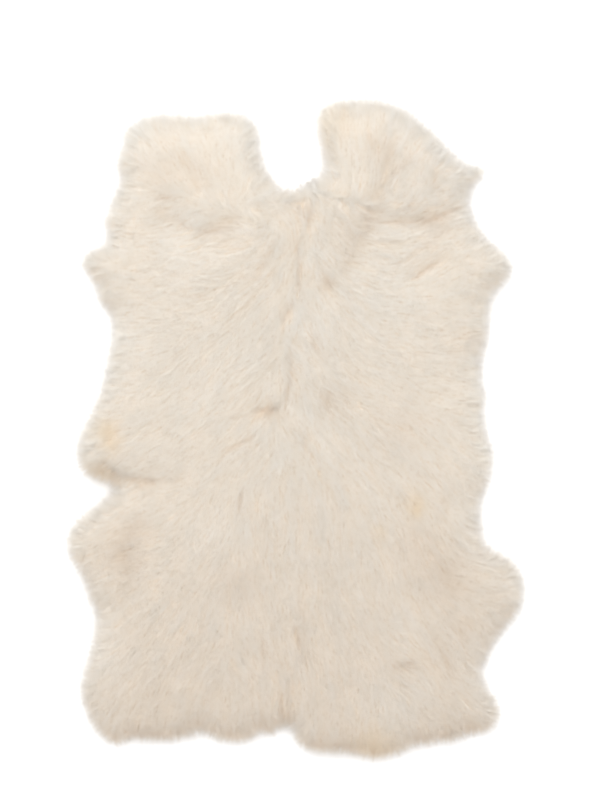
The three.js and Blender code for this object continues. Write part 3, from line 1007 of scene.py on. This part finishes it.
class RugColours(bpy.types.PropertyGroup):
    """Colours of the rug's hair and skin."""

    tip: colour_property("Tip", "the hair at its tip", (0.95, 0.947, 0.931))
    root: colour_property("Root", "the hair at its root", (0.93, 0.866, 0.766))
    warm: colour_property("Warm", "the warmest locks", (0.925, 0.877, 0.80))
    # Painted shade: the darker, warmer hair in the hollows.
    hollow_shade: colour_property("Hollow", "the hair in the partings", (0.88, 0.80, 0.69))
    # Partly real tone, partly painted shade in the creases and on the edges facing the rump.
    tan: colour_property("Tan", "the darker, warmer parts", (0.85, 0.765, 0.665))
    # Partly painted light: the paler long sides and the highlight along the spine.
    pale_and_lit: colour_property("Pale", "the paler, cooler parts", (0.953, 0.952, 0.938))
    # Painted shade: the grey that darkens the rim, the neck end and the right shoulder.
    painted_shade: colour_property("Dull", "the thin hair at the rim", (0.70, 0.685, 0.665))
    yellow: colour_property("Yellow", "the faint yellow marks", (0.93, 0.815, 0.62))
    shade: colour_property("Shade", "the patches in the hair", (0.94, 0.918, 0.88))
    # Painted shade: the down is darker than the hair, for the shade deep in the coat.
    down: colour_property("Down", "the down", (0.68, 0.585, 0.475))
    down_shade: colour_property("Down shade", "its darker parts", (0.61, 0.51, 0.40))
    skin: colour_property("Skin", "the flesh side", (0.80, 0.70, 0.57))
    skin_shade: colour_property("Skin shade", "its blotches", (0.68, 0.56, 0.43))


class StageSizes(bpy.types.PropertyGroup):
    """Sizes of the stage."""

    view_height: length_property("View height", "Height of floor in the view", 519.4 * MM)
    camera_height: length_property("Camera height", "Height of the camera above the floor", 2.6)


# The skin's cells, and its ripples: their height, and radians a metre across and along the rug.
SKIN_CELL = 5 * MM
RIPPLE_HEIGHT, RIPPLES = 0.12 * MM, (190, 160)

# The down's cells, the height of its bumps, how far it stays over the skin, and its least depth.
DOWN_CELL = 3 * MM
DOWN_BUMPS, DOWN_GAP, DOWN_LEAST = 0.15 * MM, 0.3 * MM, 0.5 * MM


class RUG_OT_skin(bpy.types.Operator):
    """Lay the tanned skin on the floor"""

    bl_idname = "rug.skin"
    bl_label = "Skin"

    def execute(self, context):
        """Makes the skin."""
        sizes, colours = context.scene.rug_sizes, context.scene.rug_colours
        flat, cells, border = patch(sizes.skin_inset, SKIN_CELL)
        waves = flat * RIPPLES
        ripple = RIPPLE_HEIGHT * np.sin(waves[:, 0]) * np.cos(waves[:, 1])
        top = sizes.skin_thickness + ripple
        skin = slab("skin", flat, cells, border, np.zeros(len(flat)), top)
        finish_piece(skin, skin_material(colours))
        return {"FINISHED"}


class RUG_OT_down(bpy.types.Operator):
    """Fill the coat with down"""

    bl_idname = "rug.down"
    bl_label = "Down"

    def execute(self, context):
        """Makes the down."""
        sizes, colours = context.scene.rug_sizes, context.scene.rug_colours
        flat, cells, border = patch(sizes.down_inset, DOWN_CELL)
        top = ground.read(ground.height, flat) - sizes.down_depth
        top += DOWN_BUMPS * ground.read(ground.noise(5 * MM, 31), flat)
        bottom = sizes.skin_thickness + DOWN_GAP
        top = np.maximum(top, bottom + DOWN_LEAST)
        down = slab("down", flat, cells, border, np.full(len(flat), bottom), top)
        finish_piece(down, down_material(colours))
        return {"FINISHED"}


class RUG_OT_coat(bpy.types.Operator):
    """Grow the combed guard hair"""

    bl_idname = "rug.coat"
    bl_label = "Coat"

    def execute(self, context):
        """Makes the coat, in pieces from the shoulders to the rump."""
        sizes, colours = context.scene.rug_sizes, context.scene.rug_colours
        material = hair_material(colours)
        hairs = grow_hairs(sizes)
        pieces = [
            ribbon_piece(name, hairs, chosen, material)
            for name, chosen in coat_parts(hairs["points"]).items()
        ]
        return {"FINISHED"}


class RUG_OT_stage(bpy.types.Operator):
    """Set the floor, the lights and the camera"""

    bl_idname = "rug.stage"
    bl_label = "Stage"

    def execute(self, context):
        """Makes the stage."""
        self.floor()
        self.lamp()
        self.surroundings()
        self.camera(context.scene.rug_stage)
        settings = context.scene.view_settings
        settings.view_transform = "Standard"
        settings.look = "None"
        cycles = context.scene.cycles
        cycles.max_bounces = 16
        cycles.diffuse_bounces = 12
        cycles.transmission_bounces = 16
        cycles.filter_width = 2.8
        return {"FINISHED"}

    def floor(self):
        """A pale floor, 8 m wide and 0.1 mm under the rug."""
        corners = np.array([[-4, -4], [4, -4], [4, 4], [-4, 4]], float)
        points = np.column_stack([corners, np.full(4, -0.1 * MM)])
        floor = mesh_object("floor", points, np.array([[0, 1, 2, 3]]))
        nodes = Nodes("pale_floor")
        set_inputs(nodes.shader, {"Base Color": (0.95, 0.95, 0.95, 1.0), "Roughness": 0.9})
        floor.data.materials.append(nodes.material)

    def lamp(self):
        """One wide, soft lamp that points at the rug."""
        light = bpy.data.lights.new("key", "AREA")
        light.shape = "DISK"
        light.size = 2.6
        light.energy = 36.0
        obj = placed("key", light)
        obj.location = (-0.25, 1.5, 1.9)
        obj.rotation_euler = (-obj.location).to_track_quat("-Z", "Y").to_euler()

    def surroundings(self):
        """An even white light from all around."""
        world = bpy.data.worlds.new("studio")
        world.use_nodes = True
        background = world.node_tree.nodes["Background"]
        set_inputs(background, {"Color": (1.0, 1.0, 1.0, 1.0), "Strength": 1.14})
        bpy.context.scene.world = world

    def camera(self, sizes):
        """A long lens that looks straight down on the rug."""
        camera = bpy.data.cameras.new("camera")
        camera.sensor_width = 36.0
        camera.lens = camera.sensor_width * sizes.camera_height / sizes.view_height
        camera.clip_end = 20.0
        obj = placed("camera", camera)
        obj.location = (4.8 * MM, 23.0 * MM, sizes.camera_height)
        bpy.context.scene.camera = obj


class RUG_PT_panel(bpy.types.Panel):
    """The rug's steps, sizes and colours"""

    bl_label = "Pelt Rug"
    bl_space_type = "VIEW_3D"
    bl_region_type = "UI"
    bl_category = "Pelt Rug"

    def draw(self, context):
        """Lists the steps, then what can be changed."""
        for operator in OPERATORS:
            self.layout.operator(operator.bl_idname)
        for group in (context.scene.rug_sizes, context.scene.rug_colours, context.scene.rug_stage):
            for name in type(group).__annotations__:
                self.layout.prop(group, name)


OPERATORS = (RUG_OT_skin, RUG_OT_down, RUG_OT_coat, RUG_OT_stage)
GROUPS = {"rug_sizes": RugSizes, "rug_colours": RugColours, "rug_stage": StageSizes}
CLASSES = (*GROUPS.values(), *OPERATORS, RUG_PT_panel)


def register():
    """Adds the add-on's classes and settings."""
    for added in CLASSES:
        bpy.utils.register_class(added)
    for name, group in GROUPS.items():
        setattr(bpy.types.Scene, name, PointerProperty(type=group))


def unregister():
    """Takes them away again."""
    for name in GROUPS:
        delattr(bpy.types.Scene, name)
    for added in reversed(CLASSES):
        bpy.utils.unregister_class(added)


def main():
    """Makes the rug and its stage."""
    register()
    bpy.ops.rug.stage()
    bpy.ops.rug.skin()
    bpy.ops.rug.down()
    bpy.ops.rug.coat()


if __name__ == "__main__":
    main()
